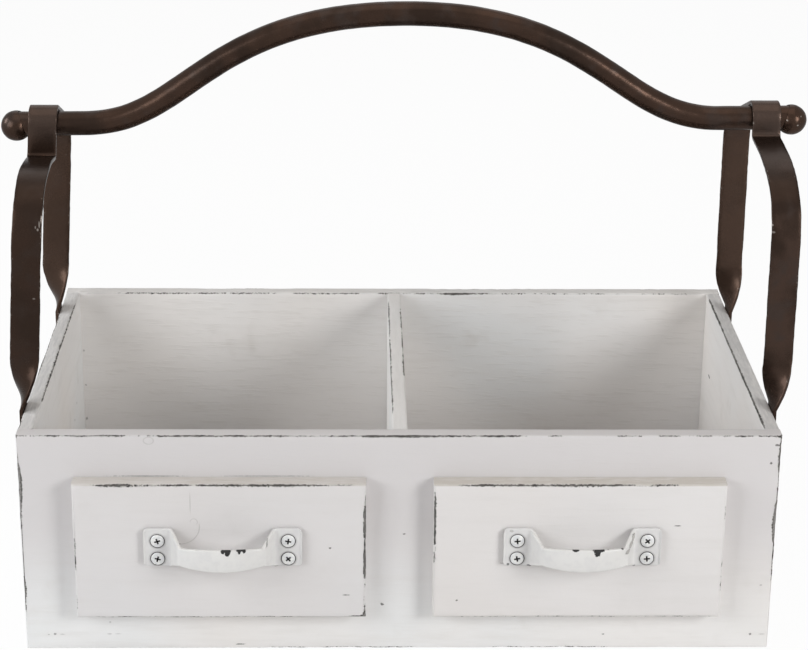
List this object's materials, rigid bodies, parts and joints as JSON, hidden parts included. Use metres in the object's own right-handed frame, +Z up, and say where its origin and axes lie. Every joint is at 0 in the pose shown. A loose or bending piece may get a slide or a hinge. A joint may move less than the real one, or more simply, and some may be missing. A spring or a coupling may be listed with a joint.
{
  "type": "storage box",
  "caption": "Open white-painted wooden storage box with a divider, drawer-look front panels with bowed pulls, and an arched iron carrying rail on flat-iron hoops.",
  "frame": {"origin": "centre of the box's underside, on the surface it stands on", "axes": "+X to the right along the box's length seen from the front, +Y to the back, +Z up; the front with the drawer panels faces -Y"},
  "size_m": [0.4407, 0.2581, 0.3293],
  "materials": {
    "painted_wood": "matte chalky white paint with worn arrises",
    "pull_enamel": "satin white enamel, chipped along the bow",
    "bright_screw": "bright plated",
    "forged_iron": "dark brown satin, slightly uneven"
  },
  "bodies": {
    "root": {"front_board": "painted_wood", "back_board": "painted_wood", "end_board_left": "painted_wood", "end_board_right": "painted_wood", "divider": "painted_wood", "bottom_board": "painted_wood", "drawer_panel_left": "painted_wood", "drawer_panel_right": "painted_wood", "pull_left": "pull_enamel", "pull_right": "pull_enamel", "pull_screw_left_1": "bright_screw", "pull_screw_left_2": "bright_screw", "pull_screw_left_3": "bright_screw", "pull_screw_left_4": "bright_screw", "pull_screw_right_1": "bright_screw", "pull_screw_right_2": "bright_screw", "pull_screw_right_3": "bright_screw", "pull_screw_right_4": "bright_screw", "hoop_left": "forged_iron", "hoop_right": "forged_iron", "hoop_screw_left_1": "forged_iron", "hoop_screw_left_2": "forged_iron", "hoop_screw_left_3": "forged_iron", "hoop_screw_left_4": "forged_iron", "hoop_screw_right_1": "forged_iron", "hoop_screw_right_2": "forged_iron", "hoop_screw_right_3": "forged_iron", "hoop_screw_right_4": "forged_iron", "carrying_rail": "forged_iron", "rail_ball_left": "forged_iron", "rail_ball_right": "forged_iron"}
  },
  "joints": []
}
